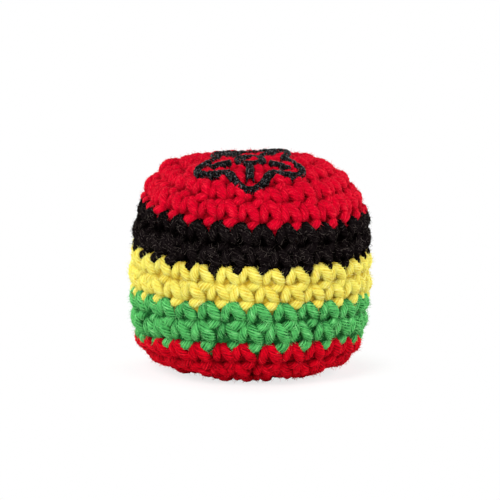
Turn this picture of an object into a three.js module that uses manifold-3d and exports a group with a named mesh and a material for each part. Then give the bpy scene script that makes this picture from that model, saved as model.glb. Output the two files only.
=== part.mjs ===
// Crocheted footbag: a squat round bag worked in one spiral of single crochet, in five stripes of yarn,
// round a tied pouch of plastic pellets. Millimetres, +Z up, origin at the centre of the flat sole.
import * as THREE from "three";
import { mergeVertices } from "three/addons/utils/BufferGeometryUtils.js";
import Module from "manifold-3d";

const wasm = await Module();
wasm.setup();

// The bag, over its stitches
const bagRadius = 28.5;
const bagHeight = 51;
const widestHeight = 24;
const crownExponent = 3;
const soleExponent = 4.1;
const soleCut = 0.5;

// Crocheted fabric
const fabricThickness = 4.6;
const roundGap = 0.3;
const stitchDip = 0.45;
const grooveDepth = 1.2;
const crestWidthShare = 0.44;
const centreHoleRadius = 0.5;

// Stitches: each sits a share of a stitch behind the one it is worked into
const wallStitches = 30;
const stitchesAddedPerRound = 6;
const stitchLeanShare = 0.28;
const firstStitchShare = 0.632;
const poleLoopTurns = 0.3;

// Stripes from the crown down: rounds, and the height of a round against the average one
const stripes = [
  { name: "cover_red_crown", rounds: 6, heightShare: 0.976, colour: "#c4122f" },
  { name: "cover_black_stripe", rounds: 2, heightShare: 1.048, colour: "#17161a" },
  { name: "cover_yellow_stripe", rounds: 2, heightShare: 1.064, colour: "#ecd94e" },
  { name: "cover_green_stripe", rounds: 2, heightShare: 1.129, colour: "#3fa553" },
  { name: "cover_red_sole", rounds: 6, heightShare: 0.944, colour: "#b80f28" },
];

// The rounds lie askew: how far their middle is off the axis at the crown and on the wall, and where
const crownShiftRight = 0.4;
const crownShiftForward = 2.45;
const crownShiftShare = 0.325;
const wallShiftRight = -0.8;
const wallShiftForward = -1.7;
const wallShiftShare = 0.696;

// Embroidered rosette on the front of the crown, with lengths over the fabric
const rosetteFromPole = 10.5;
const rosetteRadius = 10;
const rosetteWave = 2;
const rosettePetals = 5;
const rosetteCentreRadius = 2.7;
const rayGap = 0.9;
const rayTipGap = 1.8;
const satinWidth = 1.8;
const satinHeight = 0.9;
const satinTopShare = 0.5;

// Pouch of thin cloth that holds the pellets, gathered and tied at its neck
const seatClearance = 0.3;
const pouchCloth = 0.4;
const pouchSideSlack = 1.2;
const pouchTopSlack = 6;
const neckRadius = 1.9;
const neckHoleRadius = 0.7;
const neckHeight = 2.6;
const frillRadius = 3.8;
const frillHeight = 1.2;
const tieThreadRadius = 0.6;

// Pellets: the settled bed, and the loose ones that lie on it
const pelletRadius = 2;
const pelletHeight = 2.8;
const pelletEdge = 0.6;
const pelletGap = 0.6;
const pelletRings = 2;
const pelletsInFirstRing = 6;
const bedHeadroom = 6.4;

// Facets
const meridianSamples = 360;
const bodySamples = 14;
const bodySegments = 24;
const pelletSegments = 8;
const threadSegments = 6;
const petalSteps = 14;
const ringSteps = 24;
const raySteps = 2;
const stepsPerStitch = 2;
const overrun = 5;

const fullTurn = 2 * Math.PI;
const redThread = "#c4122f";
const blackThread = "#1b1a1f";
const clothColour = "#d9d4c8";
const pelletColour = "#e9e6dc";

// Half outline of a squat round body, [radius, height] from its top pole down to its bottom pole
function bodyOutline(radius, topRise, bottomDrop, samples) {
  const points = [];
  for (let i = 0; i <= samples; i++) {
    const angle = Math.PI / 2 - (Math.PI * i) / samples;
    const rise = angle > 0 ? topRise : bottomDrop;
    const exponent = angle > 0 ? crownExponent : soleExponent;
    const across = Math.abs(Math.cos(angle) / radius) ** exponent;
    const along = Math.abs(Math.sin(angle) / rise) ** exponent;
    const reach = (across + along) ** (-1 / exponent);
    points.push(new THREE.Vector2(reach * Math.cos(angle), widestHeight + reach * Math.sin(angle)));
  }
  points[0].x = 0;
  points[samples].x = 0;
  return points;
}

// Middle surface of the fabric: its points and outward normals, by length from the crown's pole
function fabricMeridian() {
  const topRise = bagHeight - widestHeight;
  const outline = bodyOutline(bagRadius, topRise, widestHeight + soleCut, meridianSamples);
  const last = outline.length - 1;
  const samples = outline.map((point, i) => {
    const along = outline[Math.min(i + 1, last)].clone().sub(outline[Math.max(i - 1, 0)]).normalize();
    const normal = new THREE.Vector2(-along.y, along.x);
    if (i === 0) normal.set(0, 1);
    if (i === last) normal.set(0, -1);
    return { point: point.clone().addScaledVector(normal, -fabricThickness / 2), normal, length: 0 };
  });
  for (let i = 1; i <= last; i++)
    samples[i].length = samples[i - 1].length + samples[i].point.distanceTo(samples[i - 1].point);
  return samples;
}

const meridian = fabricMeridian();
const meridianLength = meridian[meridian.length - 1].length;

// [radius, height] of a place in the fabric, by length from the crown's pole and depth under the surface
function fabricPoint(length, depth) {
  const found = meridian.findIndex((sample, i) => i > 0 && sample.length >= length);
  const i = found > 0 ? found : meridian.length - 1;
  const [before, after] = [meridian[i - 1], meridian[i]];
  const share = (length - before.length) / (after.length - before.length);
  const normal = before.normal.clone().lerp(after.normal, share).normalize();
  const point = before.point.clone().lerp(after.point, share);
  return point.addScaledVector(normal, fabricThickness / 2 - depth);
}

function spunPoint(point, angle) {
  return new THREE.Vector3(point.x * Math.sin(angle), -point.x * Math.cos(angle), point.y);
}

// Solid skin over rings of points: the ends are capped, or the last ring joins the first
function skinned(rings, closed) {
  const sides = rings[0].length;
  const index = [];
  const spans = closed ? rings.length : rings.length - 1;
  for (let i = 0; i < spans; i++) {
    const [near, far] = [i * sides, ((i + 1) % rings.length) * sides];
    for (let k = 0; k < sides; k++) {
      const next = (k + 1) % sides;
      index.push(near + k, far + next, far + k, near + k, near + next, far + next);
    }
  }
  const end = (rings.length - 1) * sides;
  for (let k = 1; k < sides - 1 && !closed; k++) index.push(0, k + 1, k, end, end + k, end + k + 1);
  return new THREE.BufferGeometry().setFromPoints(rings.flat()).setIndex(index);
}

// Body of revolution from a half profile of [radius, height] points, drawn up its outer side
function turned(profile, segments) {
  const points = profile.map(([radius, height]) => new THREE.Vector2(radius, height));
  return new THREE.LatheGeometry(points, segments).rotateX(Math.PI / 2);
}

function toSolid(geometry) {
  const bare = geometry.clone().deleteAttribute("normal").deleteAttribute("uv");
  const merged = mergeVertices(bare);
  return new wasm.Manifold(
    new wasm.Mesh({
      numProp: 3,
      vertProperties: merged.attributes.position.array,
      triVerts: new Uint32Array(merged.index.array),
    }),
  );
}

function toGeometry(solid) {
  const mesh = solid.getMesh();
  return new THREE.BufferGeometry()
    .setAttribute("position", new THREE.BufferAttribute(mesh.vertProperties, mesh.numProp))
    .setIndex(new THREE.BufferAttribute(mesh.triVerts, 1));
}

function namedMesh(name, geometry, colour, roughness) {
  const material = new THREE.MeshStandardMaterial({ color: colour, roughness, metalness: 0 });
  const mesh = new THREE.Mesh(geometry, material);
  mesh.name = name;
  return mesh;
}

// What is left of a piece above the ground that the bag stands on
function aboveGround(geometry) {
  const side = 2 * (bagRadius + overrun);
  const height = bagHeight + overrun;
  const space = new THREE.BoxGeometry(side, side, height).translate(0, 0, height / 2);
  return toGeometry(toSolid(geometry).intersect(toSolid(space)));
}

const roundHeights = stripes.flatMap(({ rounds, heightShare }) => Array(rounds).fill(heightShare));
const roundUnit = meridianLength / roundHeights.reduce((sum, share) => sum + share, 0);

// Length from the crown's pole of the lower edge of the spiral, by the turns made since the first stitch
function spiralEdge(turns) {
  const rounds = turns + firstStitchShare;
  const reached = roundHeights.reduce(
    (sum, share, i) => sum + share * roundUnit * THREE.MathUtils.clamp(rounds - i, 0, 1),
    0,
  );
  return THREE.MathUtils.clamp(reached, centreHoleRadius, meridianLength - centreHoleRadius);
}

// Stitches of each round: they grow in number over the crown, and fall again over the sole
function stitchCounts() {
  return roundHeights.map((_, i) => {
    const fromPole = Math.min(i + 1, roundHeights.length - i);
    return Math.min(wallStitches, stitchesAddedPerRound * fromPole);
  });
}

// Where a place in even rounds lies in the askew ones: its length from the crown's pole and its angle
function shiftedPlace(length, angle) {
  const share = length / meridianLength;
  const toWall = THREE.MathUtils.smoothstep(share, crownShiftShare, wallShiftShare);
  const toSole = THREE.MathUtils.smoothstep(share, wallShiftShare, 1);
  const shift = new THREE.Vector2(crownShiftRight, crownShiftForward)
    .lerp(new THREE.Vector2(wallShiftRight, wallShiftForward), toWall)
    .multiplyScalar(1 - toSole);
  const across = length * Math.sin(angle) + shift.x;
  const ahead = length * Math.cos(angle) + shift.y;
  return [Math.hypot(across, ahead), Math.atan2(across, ahead)];
}

// One cut through the spiral of crochet: a flat rib with a rounded crest, which dips between two stitches
function ribSection(turns, dips, trim) {
  const upper = spiralEdge(turns - 1);
  const width = spiralEdge(turns) - upper;
  const middle = upper + width / 2;
  const half = (width - roundGap) / 2;
  const crest = Math.min(half, (crestWidthShare * width) / 2);
  const radius = fabricPoint(middle, fabricThickness / 2).x;
  const spun = fullTurn * (turns + firstStitchShare) + trim / radius;
  const stitchAngle = fullTurn / wallStitches;
  const corners = [
    [-half, grooveDepth, 0],
    [-crest, dips ? stitchDip : 0, 1],
    [crest, dips ? stitchDip : 0, 1],
    [half, grooveDepth, 0],
    [half, fabricThickness, 0],
    [-half, fabricThickness, 0],
  ];
  return corners.map(([offset, depth, leans]) => {
    const lean = (-leans * stitchLeanShare * stitchAngle * offset) / width;
    const [length, angle] = shiftedPlace(middle + offset, spun + lean);
    return spunPoint(fabricPoint(length, depth), angle);
  });
}

// Each stripe is one length of yarn, worked on from where the last stripe's yarn ends
function crochetedCover() {
  const counts = stitchCounts();
  let turns = 0;
  let round = 0;
  return stripes.map(({ name, rounds, colour }, stripe) => {
    const places = [turns];
    for (const last = round + rounds; round < last; round++)
      for (let i = 0; i < counts[round] * stepsPerStitch; i++) {
        turns += 1 / ((counts[round] + stitchLeanShare) * stepsPerStitch);
        places.push(turns);
      }
    if (stripe === 0) places.unshift(places[0] - poleLoopTurns, places[0] - poleLoopTurns / 2);
    if (stripe === stripes.length - 1) places.push(turns + poleLoopTurns / 2, turns + poleLoopTurns);
    const end = places.length - 1;
    const rings = places.map((place, i) => {
      const trim = i === 0 ? roundGap / 2 : i === end ? -roundGap / 2 : 0;
      return ribSection(place, i % stepsPerStitch === 1, trim);
    });
    return namedMesh(name, aboveGround(skinned(rings, false)), colour, 1);
  });
}

// Place over the crown, from its two distances to the pole and its height over the stitches
function onCrown(place, height) {
  return spunPoint(fabricPoint(place.length(), -height), Math.atan2(place.x, -place.y));
}

// Raised line of satin stitch along a path over the crown
function satinLine(path, closed) {
  const last = path.length - 1;
  const top = (satinTopShare * satinWidth) / 2;
  const section = [
    [-satinWidth / 2, 0],
    [-top, satinHeight],
    [top, satinHeight],
    [satinWidth / 2, 0],
  ];
  const rings = path.map((place, i) => {
    const before = closed ? path.at(i - 1) : path[Math.max(i - 1, 0)];
    const after = closed ? path[(i + 1) % path.length] : path[Math.min(i + 1, last)];
    const along = after.clone().sub(before).normalize();
    const outward = new THREE.Vector2(along.y, -along.x);
    return section.map(([across, height]) =>
      onCrown(place.clone().addScaledVector(outward, across), seatClearance + height),
    );
  });
  return skinned(rings, closed);
}

// Place in the rosette, by its distance from the rosette's centre and its angle from the front
function inRosette(reach, angle) {
  return new THREE.Vector2(reach * Math.sin(angle), -reach * Math.cos(angle) - rosetteFromPole);
}

function rosette() {
  const petalReach = (angle) => rosetteRadius + rosetteWave * Math.cos(rosettePetals * angle);
  const loop = (steps, reachAt) => {
    const angles = Array.from({ length: steps }, (_, i) => (fullTurn * i) / steps);
    return angles.map((angle) => inRosette(reachAt(angle), angle));
  };
  const petals = loop(rosettePetals * petalSteps, petalReach);
  const centre = loop(ringSteps, () => rosetteCentreRadius);
  const rayStart = rosetteCentreRadius + satinWidth / 2 + rayGap;
  const rayEnd = rosetteRadius + rosetteWave - satinWidth / 2 - rayTipGap;
  const meshes = [
    namedMesh("rosette_petals", satinLine(petals, true), blackThread, 0.6),
    namedMesh("rosette_centre", satinLine(centre, true), blackThread, 0.6),
  ];
  for (let petal = 0; petal < rosettePetals; petal++) {
    const path = Array.from({ length: raySteps + 1 }, (_, i) =>
      inRosette(rayStart + ((rayEnd - rayStart) * i) / raySteps, (fullTurn * petal) / rosettePetals),
    );
    meshes.push(namedMesh(`rosette_ray_${petal + 1}`, satinLine(path, false), blackThread, 0.6));
  }
  return meshes;
}

// Outline of the pouch, or of what lies a depth inside it, from the bottom pole up
function pouchOutline(depth) {
  const radius = bagRadius - fabricThickness - pouchSideSlack - depth;
  const topRise = bagHeight - widestHeight - fabricThickness - pouchTopSlack - depth;
  const bottomDrop = widestHeight + soleCut - fabricThickness - seatClearance - depth;
  return bodyOutline(radius, topRise, bottomDrop, bodySamples).reverse().map(({ x, y }) => [x, y]);
}

const pouchTop = bagHeight - fabricThickness - pouchTopSlack;
const bedTopHeight = pouchTop - bedHeadroom;

function pelletPouch() {
  const outside = pouchOutline(0).filter(([radius], i) => i === 0 || radius > neckRadius);
  const inside = pouchOutline(pouchCloth).filter(([radius], i) => i === 0 || radius > neckHoleRadius);
  const profile = [
    ...outside,
    [neckRadius, pouchTop],
    [neckRadius, pouchTop + neckHeight],
    [frillRadius, pouchTop + neckHeight + frillHeight],
    [neckHoleRadius, pouchTop + neckHeight + frillHeight],
    [neckHoleRadius, pouchTop - pouchCloth],
    ...inside.reverse(),
  ];
  return namedMesh("pellet_pouch", turned(profile, bodySegments), clothColour, 0.9);
}

function pouchTie() {
  const ringRadius = neckRadius + seatClearance + tieThreadRadius;
  const ring = new THREE.TorusGeometry(ringRadius, tieThreadRadius, threadSegments, bodySegments / 2);
  const height = pouchTop + neckHeight / 2;
  return namedMesh("pouch_tie", ring.translate(0, 0, height), redThread, 0.8);
}

function pelletBed() {
  const outline = pouchOutline(pouchCloth + seatClearance);
  const below = outline.filter(([, height]) => height < bedTopHeight);
  const edge = outline[below.length];
  const last = below[below.length - 1];
  const share = (bedTopHeight - last[1]) / (edge[1] - last[1]);
  const rim = last[0] + share * (edge[0] - last[0]);
  const profile = [...below, [rim, bedTopHeight], [0, bedTopHeight]];
  return namedMesh("pellet_bed", turned(profile, bodySegments), pelletColour, 0.5);
}

function loosePellets() {
  const profile = [
    [0, 0],
    [pelletRadius - pelletEdge, 0],
    [pelletRadius, pelletEdge],
    [pelletRadius, pelletHeight - pelletEdge],
    [pelletRadius - pelletEdge, pelletHeight],
    [0, pelletHeight],
  ];
  const spacing = 2 * pelletRadius + pelletGap;
  const pellets = [];
  for (let ring = 0; ring <= pelletRings; ring++)
    for (let i = 0; i < Math.max(1, pelletsInFirstRing * ring); i++) {
      const angle = (fullTurn * i) / Math.max(1, pelletsInFirstRing * ring);
      const place = spunPoint(new THREE.Vector2(ring * spacing, bedTopHeight + seatClearance), angle);
      const name = `loose_pellet_${String(pellets.length + 1).padStart(2, "0")}`;
      const pellet = namedMesh(name, turned(profile, pelletSegments), pelletColour, 0.4);
      pellet.position.copy(place);
      pellets.push(pellet);
    }
  return pellets;
}

const footbag = new THREE.Group();
footbag.add(...crochetedCover(), ...rosette(), pelletPouch(), pouchTie(), pelletBed(), ...loosePellets());

export default footbag;
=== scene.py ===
"""Crocheted footbag: yarn, embroidery, pouch and pellets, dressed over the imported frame."""

import logging
import math
import random
from collections.abc import Callable
from dataclasses import dataclass, field, replace
from enum import Enum
from functools import partial

import bmesh
import bpy
import numpy as np
from mathutils import Euler, Matrix, Quaternion, Vector, noise


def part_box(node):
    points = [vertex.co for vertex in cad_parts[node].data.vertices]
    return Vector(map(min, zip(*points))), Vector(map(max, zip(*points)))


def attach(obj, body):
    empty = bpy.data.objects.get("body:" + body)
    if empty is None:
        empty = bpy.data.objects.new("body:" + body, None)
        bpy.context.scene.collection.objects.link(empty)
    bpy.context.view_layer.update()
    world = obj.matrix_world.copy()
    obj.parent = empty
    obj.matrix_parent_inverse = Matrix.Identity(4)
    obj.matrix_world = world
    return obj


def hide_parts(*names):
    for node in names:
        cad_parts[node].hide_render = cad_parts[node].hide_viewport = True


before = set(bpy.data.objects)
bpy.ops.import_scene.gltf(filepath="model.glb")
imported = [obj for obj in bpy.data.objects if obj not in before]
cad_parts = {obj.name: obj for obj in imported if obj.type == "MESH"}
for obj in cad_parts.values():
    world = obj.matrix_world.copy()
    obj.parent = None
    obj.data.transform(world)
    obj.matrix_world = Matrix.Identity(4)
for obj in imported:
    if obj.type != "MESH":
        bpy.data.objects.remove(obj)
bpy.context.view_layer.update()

log = logging.getLogger("footbag")

MM = 0.001
FULL_TURN = 2 * math.pi
IMAGE_SIDE = 500
BODY = "root"
SMOOTH = "SMOOTHSTEP"

# A path's points in millimetres, each with a factor on the strand's radius
Route = list[tuple[Vector, float]]
# Adds a node to one tree, from its kind, settings and links
AddNode = Callable[..., bpy.types.Node]


def linear(colour: str) -> tuple[float, float, float, float]:
    """Turns an sRGB hex colour into linear light.

    Args:
        colour: Colour as "#rrggbb".

    Returns:
        Red, green, blue and an alpha of 1.
    """
    parts = [int(colour[start : start + 2], 16) / 255 for start in (1, 3, 5)]
    light = [part / 12.92 if part <= 0.04045 else ((part + 0.055) / 1.055) ** 2.4 for part in parts]
    return (*light, 1.0)


def new_material(name: str) -> bpy.types.Material:
    """Makes a material with an empty node tree.

    Args:
        name: What the finish is.

    Returns:
        The new material.
    """
    material = bpy.data.materials.new(name)
    material.use_nodes = True
    material.node_tree.nodes.clear()
    return material


def add_node(
    owner: bpy.types.Material | bpy.types.World,
    kind: str,
    settings: dict[str | int, object] | None = None,
    links: dict[str | int, bpy.types.NodeSocket | bpy.types.Node] | None = None,
) -> bpy.types.Node:
    """Adds one shader node.

    Args:
        owner: Material or world whose tree gets the node.
        kind: Last part of Blender's name for the node's type.
        settings: Values, by the name of a property or by the name or number of an input.
        links: What feeds each input, by its name or number: an output, or a node for its first one in use.

    Returns:
        The new node.
    """
    node = owner.node_tree.nodes.new("ShaderNode" + kind)
    for name, value in (settings or {}).items():
        if isinstance(name, str) and hasattr(node, name):
            setattr(node, name, value)
        else:
            node.inputs[name].default_value = value
    for name, source in (links or {}).items():
        if isinstance(source, bpy.types.Node):
            source = next(output for output in source.outputs if output.enabled)
        owner.node_tree.links.new(source, node.inputs[name])
    return node


def add_object(name: str, data: bpy.types.ID) -> bpy.types.Object:
    """Makes an object and links it to the scene.

    Args:
        name: Name of the object.
        data: Its mesh, curve, lamp or camera.

    Returns:
        The new object.
    """
    made = bpy.data.objects.new(name, data)
    bpy.context.scene.collection.objects.link(made)
    return made


def mesh_piece(name: str, mesh: bpy.types.Mesh, material: bpy.types.Material) -> bpy.types.Object:
    """Makes an object of a finished mesh and shades it smooth.

    Args:
        name: Name of the piece.
        mesh: Its mesh, in metres, in the row frame.
        material: Its finish.

    Returns:
        The new object, linked to the scene.
    """
    mesh.name = name
    mesh.materials.clear()
    mesh.materials.append(material)
    mesh.polygons.foreach_set("use_smooth", [True] * len(mesh.polygons))
    return add_object(name, mesh)


def to_mesh(name: str, form: bmesh.types.BMesh) -> bpy.types.Mesh:
    """Turns a finished form in millimetres into a mesh in metres.

    Args:
        name: Name of the mesh.
        form: The form, which is freed.

    Returns:
        The new mesh.
    """
    bmesh.ops.scale(form, vec=(MM, MM, MM), verts=form.verts)
    mesh = bpy.data.meshes.new(name)
    form.to_mesh(mesh)
    form.free()
    return mesh


def close_ends(mesh: bpy.types.Mesh) -> None:
    """Closes the open ends of swept strands.

    Args:
        mesh: Mesh of open tubes.
    """
    tubes = bmesh.new()
    tubes.from_mesh(mesh)
    bmesh.ops.edgeloop_fill(tubes, edges=[edge for edge in tubes.edges if edge.is_boundary])
    tubes.to_mesh(mesh)
    tubes.free()


def point_places(mesh: bpy.types.Mesh) -> np.ndarray:
    """Places of a mesh's points, in metres, one to a row."""
    places = np.empty(len(mesh.vertices) * 3, np.float32)
    mesh.vertices.foreach_get("co", places)
    return places.reshape(-1, 3)


def move_points(mesh: bpy.types.Mesh, places: np.ndarray) -> None:
    """Moves the points of a mesh to new places, in metres."""
    mesh.vertices.foreach_set("co", places.astype(np.float32).ravel())


def mark_points(mesh: bpy.types.Mesh, name: str, values: np.ndarray) -> None:
    """Marks the points of a mesh with what a finish reads.

    Args:
        mesh: Mesh to mark.
        name: Name of the mark.
        values: One number or one row of three for each point.
    """
    kind, key = ("FLOAT_VECTOR", "vector") if values.ndim > 1 else ("FLOAT", "value")
    mesh.attributes.new(name, kind, "POINT").data.foreach_set(key, values.astype(np.float32).ravel())


def settle(piece: bpy.types.Object, slot: str, *nodes: str) -> None:
    """Rides a finished piece on the bag and hides the CAD nodes that it stands for.

    Args:
        piece: Finished object, with its place in its mesh.
        slot: Material slot of the record; not used.
        nodes: CAD nodes that the piece replaces.
    """
    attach(piece, BODY)
    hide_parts(*nodes)
    log.info("%s: %d faces", piece.name, len(piece.data.polygons))


def about_axis(radius: float, angle: float, height: float) -> Vector:
    """Place about the bag's axis, by its angle from the front, counterclockwise seen from above."""
    return Vector((radius * math.sin(angle), -radius * math.cos(angle), height))


def run_lengths(points: np.ndarray) -> np.ndarray:
    """Length along a line up to each of its points."""
    return np.concatenate([[0], np.cumsum(np.linalg.norm(np.diff(points, axis=0), axis=1))])


def at_run(run: float | np.ndarray, runs: np.ndarray, points: np.ndarray) -> np.ndarray:
    """Finds places on a line by the length along it.

    Args:
        run: Length at the wanted place, or several.
        runs: Length at each of the line's points.
        points: The line's points, one to a row.

    Returns:
        Each coordinate at the wanted place or places.
    """
    return np.array([np.interp(run, runs, column) for column in points.T])


def body_outline(radius: float, rise: float, drop: float, widest: float, samples: int) -> np.ndarray:
    """Outline of a squat round body, from the top of its axis to the bottom.

    Args:
        radius: Radius at the widest height.
        rise: Height of the top over the widest height.
        drop: Depth of the bottom under the widest height.
        widest: The widest height.
        samples: Stretches that the outline is cut into.

    Returns:
        Radius and height of each point.
    """
    angles = np.linspace(math.pi / 2, -math.pi / 2, samples + 1)
    above = angles > 0
    power = np.where(above, BagShape.crown_exponent, BagShape.sole_exponent)
    across = np.abs(np.cos(angles) / radius) ** power
    along = np.abs(np.sin(angles) / np.where(above, rise, drop)) ** power
    reach = (across + along) ** (-1 / power)
    return np.stack([reach * np.cos(angles), widest + reach * np.sin(angles)], axis=1)


class Stripe(Enum):
    """One length of yarn: its name, its rounds, how high a round is against the average, and its slot."""

    CROWN = ("red_crown", 6, 0.960, "red_yarn")
    BLACK = ("black_stripe", 2, 1.127, "black_yarn")
    YELLOW = ("yellow_stripe", 2, 1.023, "yellow_yarn")
    GREEN = ("green_stripe", 2, 1.096, "green_yarn")
    SOLE = ("red_sole", 6, 0.958, "red_yarn")

    def __init__(self, title: str, rounds: int, height_share: float, slot: str) -> None:
        """Keeps the stripe's facts under plain names."""
        self.title = title
        self.rounds = rounds
        self.height_share = height_share
        self.slot = slot


class StitchPoint(Enum):
    """Points that the yarn passes in one single crochet.

    Each holds stitches along the round, rounds down, depth in millimetres and a factor on the thickness.
    """

    LEFT_LEG_BEHIND = (-0.24, 0.92, 3.0, 0.80)
    LEFT_LEG_FOOT = (-0.22, 0.74, 1.9, 0.90)
    LEFT_LEG_BELLY = (-0.19, 0.42, 0.95, 0.98)
    LEFT_LEG_TOP = (-0.12, 0.12, 1.15, 0.95)
    APEX_IN = (-0.06, -0.08, 2.3, 0.80)
    APEX_BEHIND = (0.00, -0.12, 3.4, 0.75)
    APEX_OUT = (0.06, -0.06, 2.2, 0.85)
    RIGHT_LEG_TOP = (0.14, 0.08, 1.15, 1.02)
    RIGHT_LEG_BELLY = (0.30, 0.34, 0.85, 1.12)
    RIGHT_LEG_LOW = (0.44, 0.58, 1.15, 1.08)
    RIGHT_LEG_FOOT = (0.52, 0.80, 2.4, 0.85)
    TURN_BEHIND = (0.60, 0.90, 3.1, 0.75)
    BAR_START = (0.54, 0.84, 1.9, 0.90)
    BAR_MIDDLE = (0.30, 0.99, 0.95, 1.02)
    BAR_END = (0.10, 1.06, 1.6, 0.95)
    BAR_BEHIND = (0.00, 1.16, 2.9, 0.75)
    BACK_LOOP_TOP = (0.22, 1.20, 2.2, 0.85)
    BACK_LOOP = (0.38, 1.38, 2.1, 0.90)
    BACK_LOOP_END = (0.44, 1.52, 3.1, 0.75)
    NEXT_STITCH = (0.66, 1.10, 3.4, 0.75)

    def __init__(self, along: float, down: float, depth: float, thickness: float) -> None:
        """Keeps the point's numbers under plain names."""
        self.along = along
        self.down = down
        self.depth = depth
        self.thickness = thickness


@dataclass(frozen=True)
class Lump:
    """One soft swelling or dent of the filled bag, in millimetres."""

    middle: tuple[float, float, float]
    radius: float
    height: float


@dataclass
class BagShape:
    """Middle surface of the crocheted fabric and the spiral that its stitches follow, in millimetres."""

    radius: float = 28.5
    height: float = 51.0
    widest_height: float = 24.0
    crown_exponent: float = 3.0
    sole_exponent: float = 4.1
    sole_cut: float = 0.5
    fabric_thickness: float = 4.6
    pole_margin: float = 0.5
    wall_stitches: int = 30
    stitches_added_per_round: int = 6
    stitch_lean: float = 0.28
    first_stitch_turn: float = 0.632
    samples: int = 720
    # Length from the crown's pole, and how far the rounds lie to the right and back there
    rounds_shift: tuple[tuple[float, float, float], ...] = (
        (28.0, 0.4, -2.45),
        (60.0, -0.8, 1.7),
        (86.2, 0.0, 0.0),
    )
    lumps: tuple[Lump, ...] = (
        Lump((-16.5, 0.0, 46.5), 5.0, 1.9),
        Lump((-15.0, -12.0, 1.0), 8.0, -1.0),
        Lump((10.0, 0.0, 50.0), 10.0, 0.9),
        Lump((-28.0, 0.0, 34.0), 10.0, -0.7),
        Lump((28.0, 0.0, 13.0), 9.0, -0.6),
        Lump((28.0, 0.0, 35.0), 9.0, 0.6),
    )
    unevenness: float = 0.35
    uneven_size: float = 9.0
    lengths: np.ndarray = field(init=False)
    places: np.ndarray = field(init=False)
    normals: np.ndarray = field(init=False)
    round_ends: np.ndarray = field(init=False)

    def __post_init__(self) -> None:
        """Works out the meridian and where each round ends on it."""
        rise, drop = self.height - self.widest_height, self.widest_height + self.sole_cut
        outline = body_outline(self.radius, rise, drop, self.widest_height, self.samples)
        tangent = np.gradient(outline, axis=0)
        normals = np.stack([-tangent[:, 1], tangent[:, 0]], axis=1)
        normals[0], normals[-1] = (0, 1), (0, -1)
        self.normals = normals / np.linalg.norm(normals, axis=1, keepdims=True)
        self.places = outline - self.normals * self.fabric_thickness / 2
        self.lengths = run_lengths(self.places)
        shares = [stripe.height_share for stripe in Stripe for _ in range(stripe.rounds)]
        self.round_ends = np.concatenate([[0], np.cumsum(shares)]) / sum(shares) * self.lengths[-1]

    def edge(self, turns: float) -> float:
        """Length from the crown's pole to the spiral's lower edge.

        Args:
            turns: Turns made since the first stitch.

        Returns:
            The length along the middle surface, kept clear of both poles.
        """
        rounds = turns + self.first_stitch_turn
        reached = float(np.interp(rounds, range(len(self.round_ends)), self.round_ends))
        return min(max(reached, self.pole_margin), self.lengths[-1] - self.pole_margin)

    def at_length(self, length: float, angle: float, depth: float) -> Vector:
        """Place in the fabric by the length from the crown's pole.

        Args:
            length: Length along the middle surface.
            angle: Angle about the axis, from the front, counterclockwise seen from above.
            depth: Distance under the surface that goes over the stitches.

        Returns:
            The place in millimetres, in the row frame.
        """
        radius, height = at_run(length, self.lengths, self.places)
        out, up = at_run(length, self.lengths, self.normals)
        lift = (self.fabric_thickness / 2 - depth) / math.hypot(out, up)
        place = about_axis(radius + out * lift, angle, height + up * lift)
        outward = (place - Vector((0, 0, self.widest_height))).normalized()
        return place + outward * self.swelling(place)

    def swelling(self, place: Vector) -> float:
        """How far the lumpy bag stands out of the even one.

        Args:
            place: Place on the even bag.

        Returns:
            The distance outwards, which is below zero in a dent.
        """
        height = self.unevenness * noise.noise(place / self.uneven_size)
        for lump in self.lumps:
            off = (place - Vector(lump.middle)).length / lump.radius
            height += lump.height * math.exp(-(off**2))
        return height

    def shifted(self, length: float, angle: float) -> tuple[float, float]:
        """Moves a stitch with its round: forward in the crown and back low on the wall.

        Args:
            length: Length from the crown's pole.
            angle: Angle about the axis, from the front.

        Returns:
            The length and the angle of the stitch's real place.
        """
        crown, wall, sole = self.rounds_shift
        before, after = (crown, wall) if length < wall[0] else (wall, sole)
        share = min(max((length - before[0]) / (after[0] - before[0]), 0), 1)
        share *= share * (3 - 2 * share)
        across = length * math.sin(angle) + before[1] + (after[1] - before[1]) * share
        behind = -length * math.cos(angle) + before[2] + (after[2] - before[2]) * share
        return math.hypot(across, behind), math.atan2(across, -behind)

    def at_stitch(self, turns: float, down: float, depth: float) -> Vector:
        """Place in the fabric by the spiral of stitches.

        Args:
            turns: Turns made since the first stitch.
            down: Rounds below the spiral's upper edge at that turn.
            depth: Distance under the surface that goes over the stitches.

        Returns:
            The place in millimetres, in the row frame.
        """
        upper, lower = self.edge(turns - 1), self.edge(turns)
        length = upper + down * (lower - upper)
        return self.at_length(*self.shifted(length, FULL_TURN * (turns + self.first_stitch_turn)), depth)

    def depths(self, places: np.ndarray) -> np.ndarray:
        """How far points lie under the surface that goes over the stitches, seen from the bag's middle.

        Args:
            places: Points in millimetres, in the row frame.

        Returns:
            The depth of each, in millimetres.
        """
        across = np.hypot(places[:, 0], places[:, 1])
        along = places[:, 2] - self.widest_height
        above = along > 0
        power = np.where(above, self.crown_exponent, self.sole_exponent)
        rise = np.where(above, self.height - self.widest_height, self.widest_height + self.sole_cut)
        share = ((across / self.radius) ** power + np.abs(along / rise) ** power) ** (1 / power)
        even = np.hypot(across, along) * (1 / np.maximum(share, 0.01) - 1)
        return even + np.array([self.swelling(Vector(place)) for place in places])

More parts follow.
